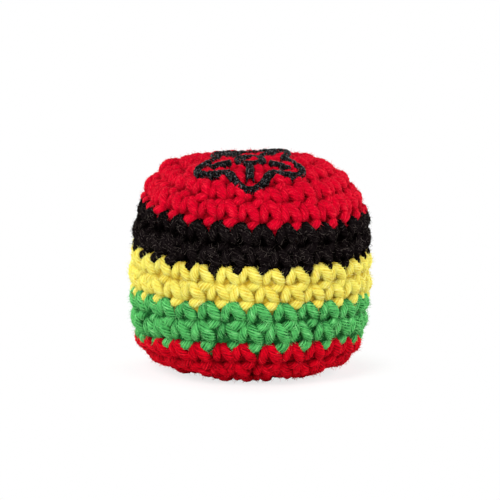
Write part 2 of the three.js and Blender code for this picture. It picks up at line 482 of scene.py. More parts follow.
    def stitches(self) -> dict[Stripe, list[tuple[float, float]]]:
        """Every stitch of each stripe, as the turn of its apex and its width in turns."""
        rounds = [stripe for stripe in Stripe for _ in range(stripe.rounds)]
        places: dict[Stripe, list[tuple[float, float]]] = {stripe: [] for stripe in Stripe}
        turns = 0.0
        for number, stripe in enumerate(rounds):
            from_pole = min(number + 1, len(rounds) - number)
            count = min(self.wall_stitches, self.stitches_added_per_round * from_pole)
            width = 1 / (count + self.stitch_lean)
            for _ in range(count):
                places[stripe].append((turns, width))
                turns += width
        return places


def smooth_path(points: Route, spacing: Callable[[np.ndarray], np.ndarray], steps: int = 10) -> Route:
    """Rounds a path off and cuts it into stretches.

    Args:
        points: Points that steer the path, each with a factor on the strand's radius.
        spacing: Gives the length of a stretch at each of many places.
        steps: Samples for each point.

    Returns:
        The points of the smooth path, with their factors.
    """
    steered = np.array([(*place, factor) for place, factor in points])
    steered = np.concatenate([steered[:1]] * 2 + [steered] + [steered[-1:]] * 2)
    share = np.linspace(0, 1, steps, endpoint=False)[None, :, None]
    weights = (
        (1 - share) ** 3,
        3 * share**3 - 6 * share**2 + 4,
        -3 * share**3 + 3 * share**2 + 3 * share + 1,
        share**3,
    )
    count = len(steered) - 3
    fine = sum(weight * steered[i : i + count, None] for i, weight in enumerate(weights)) / 6
    fine = fine.reshape(-1, 4)
    lengths = np.linalg.norm(np.diff(fine[:, :3], axis=0), axis=1)
    passed = np.concatenate([[0], np.cumsum(lengths / spacing(fine[1:, :3]))])
    wanted = np.linspace(0, passed[-1], math.ceil(passed[-1]) + 1)
    return [(Vector(ring[:3]), float(ring[3])) for ring in at_run(wanted, passed, fine).T]


@dataclass(frozen=True)
class Strand:
    """A strand with lobes for its plies, which is swept along a path, in millimetres."""

    radius: float
    plies: int
    lobe_share: float
    twist_length: float
    points_per_ply: int = 3
    lay_sign: int = -1

    @property
    def ring_size(self) -> int:
        """Points in the strand's outline."""
        return self.plies * self.points_per_ply

    def outline(self) -> bpy.types.Object:
        """Closed outline that the sweep carries along the path."""
        data = bpy.data.curves.new("strand_outline", "CURVE")
        data.dimensions = "2D"
        data.fill_mode = "NONE"
        spline = data.splines.new("POLY")
        spline.points.add(self.ring_size - 1)
        spline.use_cyclic_u = True
        for i, point in enumerate(spline.points):
            angle = -FULL_TURN * i / self.ring_size
            reach = self.radius * MM * (1 + self.lobe_share * (math.cos(self.plies * angle) - 1) / 2)
            point.co = (reach * math.cos(angle), reach * math.sin(angle), 0, 1)
        return add_object("strand_outline", data)

    def sweep(self, paths: list[Route]) -> bpy.types.Mesh:
        """Sweeps the strand along paths.

        Args:
            paths: The points of each path, in millimetres.

        Returns:
            The mesh in metres, marked with what the finishes read.
        """
        outline = self.outline()
        data = bpy.data.curves.new("strand", "CURVE")
        data.dimensions = "3D"
        data.bevel_mode = "OBJECT"
        data.bevel_object = outline
        for path in paths:
            spline = data.splines.new("POLY")
            spline.points.add(len(path) - 1)
            for point, (place, factor) in zip(spline.points, path):
                point.co = (*(place * MM), 1)
                point.radius = factor
        strand = add_object("strand", data)
        bpy.context.view_layer.update()
        graph = bpy.context.evaluated_depsgraph_get()
        mesh = bpy.data.meshes.new_from_object(strand.evaluated_get(graph))
        for scratch in (strand, outline):
            curve = scratch.data
            bpy.data.objects.remove(scratch)
            bpy.data.curves.remove(curve)
        self.twist(mesh)
        close_ends(mesh)
        return mesh

    def twist(self, mesh: bpy.types.Mesh) -> None:
        """Turns each ring to lay the plies round the strand, and marks the points for the finishes.

        The marks say where a point lies round and along the strand, and how deep it is in a groove.

        Args:
            mesh: Mesh of swept strands, ring after ring.
        """
        rings = point_places(mesh).reshape(-1, self.ring_size, 3).astype(float)
        middles = rings.mean(axis=1)
        run = run_lengths(middles) / MM
        spokes = rings - middles[:, None]
        along = np.cross(spokes[:, 0], spokes[:, self.ring_size // 3])
        along /= np.maximum(np.linalg.norm(along, axis=1, keepdims=True), 1e-12)
        lay = (self.lay_sign * FULL_TURN * run / self.twist_length)[:, None, None]
        turned = spokes * np.cos(lay) + np.cross(along[:, None], spokes) * np.sin(lay)
        move_points(mesh, middles[:, None] + turned)
        turn = FULL_TURN * np.arange(self.ring_size) / self.ring_size
        marks = np.empty((len(rings), self.ring_size, 3))
        marks[..., 0] = self.radius * np.cos(turn)
        marks[..., 1] = self.radius * np.sin(turn)
        marks[..., 2] = run[:, None]
        mark_points(mesh, "strand", marks)
        mark_points(mesh, "groove", np.tile((1 - np.cos(self.plies * turn)) / 2, len(rings)))


@dataclass(frozen=True)
class Finish:
    """What a piece is made of."""

    name: str

    def shader(self, add: AddNode) -> bpy.types.Node:
        """Adds the nodes that give the finish its look.

        Args:
            add: Adds a node to the material's tree.

        Returns:
            The node of the surface's shader.
        """
        raise NotImplementedError

    def material(self) -> bpy.types.Material:
        """Makes the finish's material."""
        material = new_material(self.name)
        add_node(material, "OutputMaterial", {}, {"Surface": self.shader(partial(add_node, material))})
        return material


@dataclass(frozen=True)
class YarnFinish(Finish):
    """Spun acrylic yarn: matt and soft, darker where light sinks between its plies, with painted shade that
    deepens with depth in the fabric.
    """

    ridge: str
    # Painted shade colour for the hollows between the plies, also the first step of the painted depth shade
    groove: str
    fibre: str
    shadow: str
    fibre_width: float = 0.3
    fibre_length: float = 2.4
    fibre_relief: float = 0.12
    matted_size: float = 1.5
    matted_lay: float = 0.25
    open_lay: float = 1.0
    lay_contrast: float = 0.75
    lay_level: float = 0.6
    streak_share: float = 0.6
    # Painted shade by depth in the fabric: first toward the groove colour, then toward the shadow colour
    # deeper in
    lit_depth: float = 0.3
    turned_depth: float = 1.4
    turned_shade_share: float = 0.75
    dark_depth: float = 2.7
    gloss: float = 0.05

    def shader(self, add: AddNode) -> bpy.types.Node:
        """Yarn with its fibres drawn along the plies, painted shade between the plies and deep in the fabric,
        and paler fibres that are partly painted highlight.
        """
        strand = add("Attribute", {"attribute_name": "strand"}).outputs["Vector"]
        groove, depth, pale = (
            add("Attribute", {"attribute_name": mark}).outputs["Fac"] for mark in ("groove", "depth", "pale")
        )
        squeeze = (1, 1, self.fibre_width / self.fibre_length)
        along = add("VectorMath", {"operation": "MULTIPLY", 1: squeeze}, {0: strand})
        streaks = add(
            "TexNoise",
            {"Scale": 1 / self.fibre_width, "Detail": 2.0, "Roughness": 0.6, "Distortion": 0.8},
            {"Vector": along},
        )
        fibres = add("MapRange", {"From Min": 0.3, "From Max": 0.7}, {"Value": streaks})
        place = add("TexCoord").outputs["Object"]
        patches = add("TexNoise", {"Scale": 1 / (self.matted_size * MM), "Detail": 3.0}, {"Vector": place})
        lay = {"To Min": self.matted_lay * self.open_lay, "To Max": self.open_lay}
        open_patches = add("MapRange", {"From Min": 0.38, "From Max": 0.62, **lay}, {"Value": patches})
        # Painted shade between the plies, weaker where the yarn is matted
        sunk_shade = add("Math", {"operation": "MULTIPLY"}, {0: groove, 1: open_patches})
        level = add("Math", {"operation": "ADD", 1: self.lay_level * self.lay_contrast}, {0: sunk_shade})
        shaded = add(
            "Math",
            {"operation": "MULTIPLY_ADD", 1: -self.lay_contrast, "use_clamp": True},
            {0: fibres, 2: level},
        )
        # Painted shade: the yarn darkens toward the groove colour and then the shadow colour the deeper it
        # lies in the fabric
        turned = {"From Min": self.lit_depth, "From Max": self.turned_depth, "To Max": self.turned_shade_share}
        rounding_shade = add("MapRange", {"interpolation_type": SMOOTH, **turned}, {"Value": depth})
        sinking = {"From Min": self.turned_depth, "From Max": self.dark_depth}
        deep_shade = add("MapRange", {"interpolation_type": SMOOTH, **sinking}, {"Value": depth})
        # Paler fibre colour on streaks along the strand and on pale loose fibres: partly the fibres' own
        # paler tone, partly painted highlight
        streaked = {"From Min": 0.72, "From Max": 1.0, "To Max": self.streak_share}
        lit = add("MapRange", streaked, {"Value": fibres})
        light = add("Math", {"operation": "ADD"}, {0: lit, 1: pale})
        ends = {6: linear(self.ridge), 7: linear(self.groove)}
        colour = add("Mix", {"data_type": "RGBA", **ends}, {0: shaded})
        for tone, share in ((self.fibre, light), (self.groove, rounding_shade), (self.shadow, deep_shade)):
            colour = add("Mix", {"data_type": "RGBA", 7: linear(tone)}, {0: share, 6: colour})
        bump = add("Bump", {"Strength": 0.6, "Distance": self.fibre_relief * MM}, {"Height": fibres})
        matt = {"Roughness": 0.95, "Specular IOR Level": self.gloss}
        return add("BsdfPrincipled", matt, {"Base Color": colour, "Normal": bump})


@dataclass(frozen=True)
class SatinFinish(Finish):
    """Black rayon embroidery thread: smooth filament, with a soft shine along each stitch, partly real gloss
    and partly painted as pale speckles in its colour.
    """

    name: str = "satin_thread_black"
    colour: str = "#010101"
    lit_colour: str = "#7e7e82"
    glint_size: float = 0.35
    filaments_per_mm: float = 14.0
    filament_squeeze: float = 0.1
    filament_relief: float = 0.05

    def shader(self, add: AddNode) -> bpy.types.Node:
        """Thread with fine filament streaks and painted highlight speckles."""
        strand = add("Attribute", {"attribute_name": "strand"}).outputs["Vector"]
        squeeze = (1, 1, self.filament_squeeze)
        along = add("VectorMath", {"operation": "MULTIPLY", 1: squeeze}, {0: strand})
        streaks = add("TexNoise", {"Scale": self.filaments_per_mm}, {"Vector": along})
        bump = add("Bump", {"Strength": 0.4, "Distance": self.filament_relief * MM}, {"Height": streaks})
        # Painted highlights: pale speckles in the thread's colour stand in for glints of light on its
        # filaments
        painted_glints = add("TexNoise", {"Scale": 1 / self.glint_size, "Detail": 1.0}, {"Vector": strand})
        lit = add("MapRange", {"From Min": 0.57, "From Max": 0.8}, {"Value": painted_glints})
        ends = {6: linear(self.colour), 7: linear(self.lit_colour)}
        tone = add("Mix", {"data_type": "RGBA", **ends}, {0: lit})
        shine = {"Roughness": 0.42, "Specular IOR Level": 0.04}
        return add("BsdfPrincipled", shine, {"Base Color": tone, "Normal": bump})


@dataclass(frozen=True)
class MuslinFinish(Finish):
    """Undyed cotton muslin: a matt plain weave of slightly uneven thread."""

    name: str = "cotton_muslin_undyed"
    thread: str = "#e8dfc9"
    # Painted shade colour for the hollows between the threads of the weave
    gap_shade: str = "#9c8c6e"
    round_threads: int = 316
    thread_spacing: float = 0.45
    slub_length: float = 3.0
    slub_share: float = 0.4
    thread_relief: float = 0.15

    def shader(self, add: AddNode) -> bpy.types.Node:
        """Cloth whose threads run round the pouch and from its neck to its bottom."""
        place = add("TexCoord").outputs["Object"]
        parts = add("SeparateXYZ", {}, {"Vector": place}).outputs
        angle = add("Math", {"operation": "ARCTAN2"}, {0: parts["Y"], 1: parts["X"]})
        run = add("Attribute", {"attribute_name": "run"}).outputs["Fac"]
        waves = []
        for source, waves_per_unit in ((angle, self.round_threads / 2), (run, math.pi / self.thread_spacing)):
            scaled = add("Math", {"operation": "MULTIPLY", 1: waves_per_unit}, {0: source})
            waves.append(add("Math", {"operation": "SINE"}, {0: scaled}))
        weave = add("Math", {"operation": "MULTIPLY"}, {0: waves[0], 1: waves[1]})
        raised = add("Math", {"operation": "ABSOLUTE"}, {0: weave})
        slubs = add("TexNoise", {"Scale": 1 / (self.slub_length * MM)}, {"Vector": place})
        height = add("Math", {"operation": "MULTIPLY_ADD", 1: self.slub_share}, {0: slubs, 2: raised})
        shown = add("MapRange", {"From Min": 0.05, "From Max": 0.7}, {"Value": height})
        # Raised threads take the thread colour; the low places between them take painted shade
        ends = {6: linear(self.gap_shade), 7: linear(self.thread)}
        colour = add("Mix", {"data_type": "RGBA", **ends}, {0: shown})
        bump = add("Bump", {"Strength": 0.7, "Distance": self.thread_relief * MM}, {"Height": height})
        matt = {"Roughness": 0.9, "Specular IOR Level": 0.2, "Sheen Weight": 0.1}
        return add("BsdfPrincipled", matt, {"Base Color": colour, "Normal": bump})


@dataclass(frozen=True)
class PelletFinish(Finish):
    """Polyethylene granules: milky, waxy, and dulled by rubbing on each other."""

    name: str = "polyethylene_pellets"
    colour: str = "#e9e6dc"
    shade: str = "#cfc9b8"
    cloud_size: float = 5.0
    scuff_size: float = 0.3
    scuff_relief: float = 0.03

    def shader(self, add: AddNode) -> bpy.types.Node:
        """Plastic with a slow change of shade from pellet to pellet and fine scuffs."""
        place = add("TexCoord").outputs["Object"]
        clouds = add("TexNoise", {"Scale": 1 / (self.cloud_size * MM)}, {"Vector": place})
        scuffs = add("TexNoise", {"Scale": 1 / (self.scuff_size * MM), "Detail": 3.0}, {"Vector": place})
        shown = add("MapRange", {"From Min": 0.35, "From Max": 0.65}, {"Value": clouds})
        ends = {6: linear(self.colour), 7: linear(self.shade)}
        colour = add("Mix", {"data_type": "RGBA", **ends}, {0: shown})
        dull = add("MapRange", {"To Min": 0.35, "To Max": 0.6}, {"Value": scuffs})
        bump = add("Bump", {"Strength": 0.2, "Distance": self.scuff_relief * MM}, {"Height": scuffs})
        milky = {"Subsurface Weight": 0.3, "Subsurface Radius": (MM, MM, MM), "IOR": 1.5}
        return add("BsdfPrincipled", milky, {"Base Color": colour, "Roughness": dull, "Normal": bump})


@dataclass
class CrochetStripe:
    """One stripe of single crochet: its yarn in one unbroken length, the back of the fabric, and its fuzz."""

    stripe: Stripe
    shape: BagShape
    finish: YarnFinish
    seed: int
    yarn: Strand = Strand(radius=1.26, plies=9, lobe_share=0.14, twist_length=6.6, points_per_ply=2)
    back: Strand = Strand(radius=2.2, plies=10, lobe_share=0.1, twist_length=14.0, points_per_ply=2)
    fibre: Strand = Strand(radius=0.035, plies=3, lobe_share=0.0, twist_length=1000.0, points_per_ply=1)
    seen_depth: float = 2.6
    seen_spacing: float = 0.48
    hidden_spacing: float = 1.2
    back_spacing: float = 2.0
    floor_softness: float = 0.3
    wander_along: float = 0.05
    wander_down: float = 0.045
    wander_depth: float = 0.17
    wander_thickness: float = 0.07
    ruffle_size: float = 0.9
    ruffle_height: float = 0.1
    ruffle_seed: int = 11
    back_down: float = 0.72
    back_depth: float = 3.3
    back_points: int = 3
    fibres_per_piece: int = 12000
    fibre_seed: int = 100
    fibre_depth: float = 2.0
    fibre_length: float = 1.5
    fibre_lengths: tuple[float, float] = (0.3, 1.0)
    fibre_root: float = 0.05
    fibre_bend: float = 0.45
    fibre_tapers: tuple[float, ...] = (0.8, 0.4)
    least_facing: float = 0.1
    ray_lift: float = 0.02
    floor_clearance: float = 0.15
    flyaways: float = 0.03
    flyaway_slopes: tuple[float, float] = (0.4, 1.1)
    lying_slopes: tuple[float, float] = (0.02, 0.25)
    pale_seed: int = 200
    pale_power: float = 2.5

    def stitch_route(self) -> Route:
        """Route of the yarn through every stitch of the stripe, with its thickness."""
        draw = random.Random(self.seed)
        wanders = (self.wander_along, self.wander_down, self.wander_depth)
        route = []
        for turns, width in self.shape.stitches()[self.stripe]:
            along, down, lift = (draw.gauss(0, wander) for wander in wanders)
            for point in StitchPoint:
                shift = along if point.depth < self.shape.fabric_thickness / 2 else 0
                at = turns + (point.along + shift) * width
                place = self.shape.at_stitch(at, point.down + down, point.depth + lift)
                route.append((place, point.thickness * (1 + draw.gauss(0, self.wander_thickness))))
        return route

    def back_route(self) -> Route:
        """Route of the loops that close the fabric's back."""
        route = []
        for turns, width in self.shape.stitches()[self.stripe]:
            for i in range(self.back_points):
                at = turns + i * width / self.back_points
                route.append((self.shape.at_stitch(at, self.back_down, self.back_depth), 1.0))
        return route

    def ring_spacing(self, places: np.ndarray) -> np.ndarray:
        """Length between rings of the yarn, which is short where the yarn shows."""
        seen = self.shape.depths(places) < self.seen_depth
        return np.where(seen, self.seen_spacing, self.hidden_spacing)

    def press_and_mark(self, mesh: bpy.types.Mesh) -> None:
        """Flattens the yarn where the bag rests, and marks its depth.

        Args:
            mesh: Mesh whose points are pressed up to the floor.
        """
        places = point_places(mesh)
        heights = places[:, 2]
        soft = self.floor_softness * MM
        places[:, 2] = (heights + np.sqrt(heights**2 + soft**2)) / 2
        move_points(mesh, places)
        self.mark_depth(mesh)

    def ruffle(self, mesh: bpy.types.Mesh) -> None:
        """Roughens the yarn's surface, which is spun loosely and felted a little by use.

        Args:
            mesh: Mesh whose points are moved.
        """
        # Without a seed of its own this noise takes one from the clock, new in each run
        noise.seed_set(self.ruffle_seed)
        size, height = self.ruffle_size * MM, self.ruffle_height * MM
        for point in mesh.vertices:
            point.co += noise.noise_vector(point.co / size) * height

    def mark_depth(self, mesh: bpy.types.Mesh) -> None:
        """Marks how deep each point of a mesh lies in the fabric, which the yarn finish turns into painted
        shade.
        """
        mark_points(mesh, "depth", self.shape.depths(point_places(mesh) / MM))

    def fibres(self, yarn: bpy.types.Object) -> list[Route]:
        """Routes of the loose fibres: most lie over the yarn and a few stand off it.

        Args:
            yarn: The stripe's yarn, which the fibres leave.

        Returns:
            One route for each fibre.
        """
        draw = random.Random(self.seed + self.fibre_seed)
        faces = yarn.data.polygons
        depths = yarn.data.attributes["depth"].data
        middle = Vector((0, 0, self.shape.widest_height)) * MM
        outer = [face for face in faces if depths[face.vertices[0]].value < self.fibre_depth]
        routes = []
        while len(routes) < self.fibres_per_piece:
            face = draw.choice(outer)
            normal, start = face.normal.copy(), face.center.copy()
            outward = (start - middle).normalized()
            lifted = start + normal * self.ray_lift * MM
            if normal.dot(outward) < self.least_facing or yarn.ray_cast(lifted, outward)[0]:
                continue
            slopes = self.flyaway_slopes if draw.random() < self.flyaways else self.lying_slopes
            off = draw.uniform(*slopes)
            sideways = normal.orthogonal().normalized()
            sideways.rotate(Quaternion(normal, draw.uniform(0, FULL_TURN)))
            lean = (sideways + normal * off).normalized()
            bend = Vector([draw.gauss(0, self.fibre_bend) for _ in range(3)])
            reach = self.fibre_length * draw.uniform(*self.fibre_lengths) / len(self.fibre_tapers)
            place = start / MM - normal * self.fibre_root
            route = [(place, 1.0)]
            for step, taper in enumerate(self.fibre_tapers):
                place = place + (lean + bend * step).normalized() * reach
                place.z = max(place.z, self.floor_clearance)
                route.append((place.copy(), taper))
            routes.append(route)
        return routes

    def fuzz(self, yarn: bpy.types.Object) -> bpy.types.Mesh:
        """Makes the loose fibres, each with a shade of its own.

        Args:
            yarn: The stripe's yarn, which the fibres leave.

        Returns:
            The mesh in metres.
        """
        draw = random.Random(self.seed + self.pale_seed)
        routes = self.fibres(yarn)
        mesh = self.fibre.sweep(routes)
        shades = [draw.random() ** self.pale_power for _ in routes]
        mark_points(mesh, "pale", np.repeat(shades, len(mesh.vertices) // len(routes)))
        self.mark_depth(mesh)
        return mesh

    def build(self) -> None:
        """Makes the stripe's pieces and dresses them."""
        material = self.finish.material()
        yarn_mesh = self.yarn.sweep([smooth_path(self.stitch_route(), self.ring_spacing)])
        self.ruffle(yarn_mesh)
        self.press_and_mark(yarn_mesh)
        yarn = mesh_piece("yarn_" + self.stripe.title, yarn_mesh, material)
        back_mesh = self.back.sweep([smooth_path(self.back_route(), lambda _: self.back_spacing)])
        self.press_and_mark(back_mesh)
        back = mesh_piece("back_loops_" + self.stripe.title, back_mesh, material)
        bpy.context.view_layer.update()
        fuzz = mesh_piece("fuzz_" + self.stripe.title, self.fuzz(yarn), material)
        for piece in (yarn, back, fuzz):
            settle(piece, self.stripe.slot, "cover_" + self.stripe.title)


@dataclass
class Rosette:
    """Five-petalled rosette in satin stitch on the front of the crown, in millimetres."""

    shape: BagShape
    finish: SatinFinish = SatinFinish()
    thread: Strand = Strand(radius=0.27, plies=3, lobe_share=0.2, twist_length=1.4, points_per_ply=2)
    from_pole: float = 10.5
    radius: float = 10.0
    wave: float = 2.0
    petals: int = 5
    petal_samples: int = 240
    centre_radius: float = 2.7
    ray_start: float = 4.5
    ray_end: float = 9.3
    width: float = 1.75
    width_wander: float = 0.05
    lift_wander: float = 0.08
    # One thread's way across the line, as shares of its width and heights over the fabric
    section: tuple[tuple[float, float], ...] = (
        *((-0.46, -1.4), (-0.46, 0.0), (-0.22, 0.6)),
        *((0.22, 0.6), (0.46, 0.0), (0.46, -1.4)),
    )
    thread_gap: float = 0.42
    tangent_reach: float = 0.05
    ring_spacing: float = 0.35
    seed: int = 7

    def in_rosette(self, reach: float, angle: float) -> tuple[float, float]:
        """Place on the crown, as lengths over the fabric from the pole.

        Args:
            reach: Distance from the rosette's centre.
            angle: Angle about that centre, from the front.

        Returns:
            Lengths to the right of the pole and behind it.
        """
        return reach * math.sin(angle), -reach * math.cos(angle) - self.from_pole

    def on_crown(self, across: float, behind: float, height: float) -> Vector:
        """Place over the crown's fabric.

        Args:
            across: Length over the fabric to the right of the pole.
            behind: Length over the fabric behind the pole.
            height: Height over the fabric.

        Returns:
            The place in millimetres, in the row frame.
        """
        return self.shape.at_length(math.hypot(across, behind), math.atan2(across, -behind), -height)

    def satin_line(self, line: list[tuple[float, float]], closed: bool) -> list[Route]:
        """Threads of one satin line, side by side across it.

        Args:
            line: Points along the line's middle, as lengths over the fabric.
            closed: Whether the line comes back to its start.

        Returns:
            One route for each thread.
        """
        draw = random.Random(self.seed)
        points = np.array(line + line[:1] if closed else line)
        lengths = run_lengths(points)
        count = round(lengths[-1] / self.thread_gap)
        routes = []
        for i in range(count):
            at = lengths[-1] * (i + 0.5) / count
            middle, ahead, behind = (
                at_run(at + off, lengths, points) for off in (0, self.tangent_reach, -self.tangent_reach)
            )
            along = (ahead - behind) / np.linalg.norm(ahead - behind)
            outward = np.array([along[1], -along[0]])
            width = self.width * (1 + draw.gauss(0, self.width_wander))
            lift = draw.gauss(0, self.lift_wander)
            route = []
            for share, height in self.section:
                place = middle + outward * share * width
                route.append((self.on_crown(*place, height + lift), 1.0))
            routes.append(smooth_path(route, lambda _: self.ring_spacing, steps=4))
        return routes

    def build(self) -> None:
        """Makes the rosette's pieces and dresses them."""
        material = self.finish.material()
        petals, centre = [], []
        for i in range(self.petal_samples):
            angle = FULL_TURN * i / self.petal_samples
            reach = self.radius + self.wave * math.cos(self.petals * angle)
            petals.append(self.in_rosette(reach, angle))
            centre.append(self.in_rosette(self.centre_radius, angle))
        lines = {"rosette_petals": (petals, True), "rosette_centre": (centre, True)}
        for petal in range(self.petals):
            angle = FULL_TURN * petal / self.petals
            ray = [self.in_rosette(reach, angle) for reach in (self.ray_start, self.ray_end)]
            lines[f"rosette_ray_{petal + 1}"] = (ray, False)
        for node, (line, closed) in lines.items():
            mesh = self.thread.sweep(self.satin_line(line, closed))
            settle(mesh_piece("satin_" + node, mesh, material), "embroidery_thread", node)


@dataclass
class PelletPouch:
    """Pouch of thin cloth that keeps the pellets from working out between the stitches, in millimetres."""

    shape: BagShape
    finish: MuslinFinish = MuslinFinish()
    cloth: float = 0.4
    side_slack: float = 1.2
    top_slack: float = 6.0
    sole_gap: float = 0.3
    neck_height: float = 2.6
    neck_line: tuple[tuple[float, float], ...] = ((1.75, 1.3), (1.8, 2.1), (2.5, 3.0), (3.6, 3.8))
    outline_samples: int = 96
    segments: int = 132
    weld_reach: float = 0.004
    gathers: int = 11
    gather_depth: float = 1.1
    gather_gain: float = 4.0
    gather_reach: float = 9.0
    gather_fade: float = 1.6
    gather_sway: float = 0.6
    sway_scale: float = 3.0
    neck_gather_depth: float = 0.3
    crumple: float = 0.3
    crumple_size: float = 9.0
    pellet_print: float = 0.15
    pellet_size: float = 4.4

    @property
    def top(self) -> float:
        """Height of the pouch's shoulder."""
        return self.shape.height - self.shape.fabric_thickness - self.top_slack

    def outline(self, depth: float) -> np.ndarray:
        """Outline of the pouch, or of what lies inside it, from its top to its bottom.

        Args:
            depth: Distance inside the pouch's outer side.

        Returns:
            Radius and height of each point.
        """
        shape = self.shape
        radius = shape.radius - shape.fabric_thickness - self.side_slack - depth
        drop = shape.widest_height + shape.sole_cut - shape.fabric_thickness - self.sole_gap - depth
        rise = self.top - shape.widest_height - depth
        return body_outline(radius, rise, drop, shape.widest_height, self.outline_samples)

    def gathered(self, place: Vector, run: float) -> Vector:
        """Moves a point of the smooth pouch into the folds, crumples and prints of the real one.

        Args:
            place: Place on the smooth pouch.
            run: Length over the cloth from the neck's edge.

        Returns:
            The place in the gathered cloth.
        """
        across = math.hypot(place.x, place.y)
        if across < self.cloth:
            return place
        angle = math.atan2(place.x, -place.y)
        ahead, aside = self.sway_scale * math.cos(angle), self.sway_scale * math.sin(angle)
        sway = self.gather_sway * noise.noise(Vector((ahead, aside, run / self.gather_reach)))
        fold = (1 - math.cos(self.gathers * angle + sway)) / 2
        inward = Vector((-place.x, -place.y, self.shape.widest_height - place.z)).normalized()
        if place.z > self.top:
            level = Vector((-place.x, -place.y, 0)).normalized()
            return place + level * fold * self.neck_gather_depth * across / self.neck_line[0][0]
        past_neck = max(0, across - self.neck_line[0][0]) / self.gather_reach
        above = 1 if place.z > self.shape.widest_height else 0
        depth = above * self.gather_depth * fold * self.gather_gain * past_neck
        depth *= math.exp(-self.gather_fade * past_neck)
        depth += self.crumple * (0.5 + noise.noise(place / self.crumple_size))
        depth += self.pellet_print * min(1, noise.voronoi(place / self.pellet_size)[0][0])
        return place + inward * max(0, depth)

    def build(self) -> None:
        """Spins the pouch, gathers it and gives the cloth its thickness."""
        neck = [(radius, self.top + height) for radius, height in reversed(self.neck_line)]
        body = [tuple(point) for point in self.outline(0) if point[0] > self.neck_line[0][0] + self.cloth]
        points = np.array([*neck, *body[:-1], (0.0, body[-1][1])])
        pouch = bmesh.new()
        marks = pouch.verts.layers.float.new("run")
        line = [pouch.verts.new((0, -radius, height)) for radius, height in points]
        for vertex, run in zip(line, run_lengths(points)):
            vertex[marks] = run
        edges = [pouch.edges.new(pair) for pair in zip(line, line[1:])]
        bmesh.ops.spin(
            pouch,
            geom=line + edges,
            axis=(0, 0, 1),
            cent=(0, 0, 0),
            angle=FULL_TURN,
            steps=self.segments,
            use_merge=True,
        )
        bmesh.ops.remove_doubles(pouch, verts=pouch.verts, dist=self.weld_reach)
        bmesh.ops.recalc_face_normals(pouch, faces=pouch.faces)
        for vertex in pouch.verts:
            vertex.co = self.gathered(vertex.co.copy(), vertex[marks])
        bmesh.ops.recalc_face_normals(pouch, faces=pouch.faces)
        bmesh.ops.solidify(pouch, geom=pouch.faces[:], thickness=self.cloth)
        piece = mesh_piece("muslin_pouch", to_mesh("pellet_pouch", pouch), self.finish.material())
        settle(piece, "pouch_cloth", "pellet_pouch")


@dataclass
class PouchTie:
    """Thread wound round the pouch's neck and knotted, in millimetres."""

    pouch: PelletPouch
    finish: YarnFinish
    thread: Strand = Strand(radius=0.3, plies=3, lobe_share=0.2, twist_length=2.4, points_per_ply=4)
    turns: int = 3
    points_per_turn: int = 12
    wound_radius: float = 2.12
    pitch: float = 0.62
    knot_scale: float = 0.3
    knot_points: int = 14
    knot_front: float = 0.9
    tail_front: float = 1.2
    tail_length: float = 6.5
    tail_spread: float = 0.5
    tail_turn: float = 0.3
    tail_low: float = 1.2
    tail_drop: float = 2.0
    tail_points: int = 5
    ring_spacing: float = 0.25

    def tail(self, side: int) -> list[Vector]:
        """Route of one end, from the knot outwards over the pouch's shoulder.

        Args:
            side: 1 for the right end, -1 for the left one.

        Returns:
            The route's points.
        """
        points = []
        for step in range(1, self.tail_points + 1):
            share = step / self.tail_points
            reach = self.wound_radius + self.tail_front + share * self.tail_length
            angle = side * self.tail_spread * (self.tail_turn + share)
            lift = self.tail_low + self.tail_drop * (1 - share) ** 2
            points.append(about_axis(reach, angle, self.pouch.top + self.thread.radius * lift))
        return points

    def route(self) -> Route:
        """Route of the whole thread: one end, the turns, the knot and the other end."""
        middle = self.pouch.top + self.pouch.neck_height / 2
        points = self.tail(-1)[::-1]
        for i in range(self.turns * self.points_per_turn + 1):
            angle = FULL_TURN * i / self.points_per_turn
            height = middle + self.pitch * (i / self.points_per_turn - self.turns / 2)
            points.append(about_axis(self.wound_radius, angle, height))
        front = Vector((0, -self.wound_radius - self.knot_front, middle))
        for i in range(1, self.knot_points):
            angle = FULL_TURN * i / self.knot_points
            lobes = (
                math.sin(angle) + 2 * math.sin(2 * angle),
                -math.sin(3 * angle),
                math.cos(angle) - 2 * math.cos(2 * angle),
            )
            points.append(Vector(lobes) * self.knot_scale + front)
        points += self.tail(1)
        return [(point, 1.0) for point in points]

    def build(self) -> None:
        """Makes the tie and dresses it."""
        mesh = self.thread.sweep([smooth_path(self.route(), lambda _: self.ring_spacing)])
        settle(mesh_piece("knotted_tie", mesh, self.finish.material()), "tie_thread", "pouch_tie")


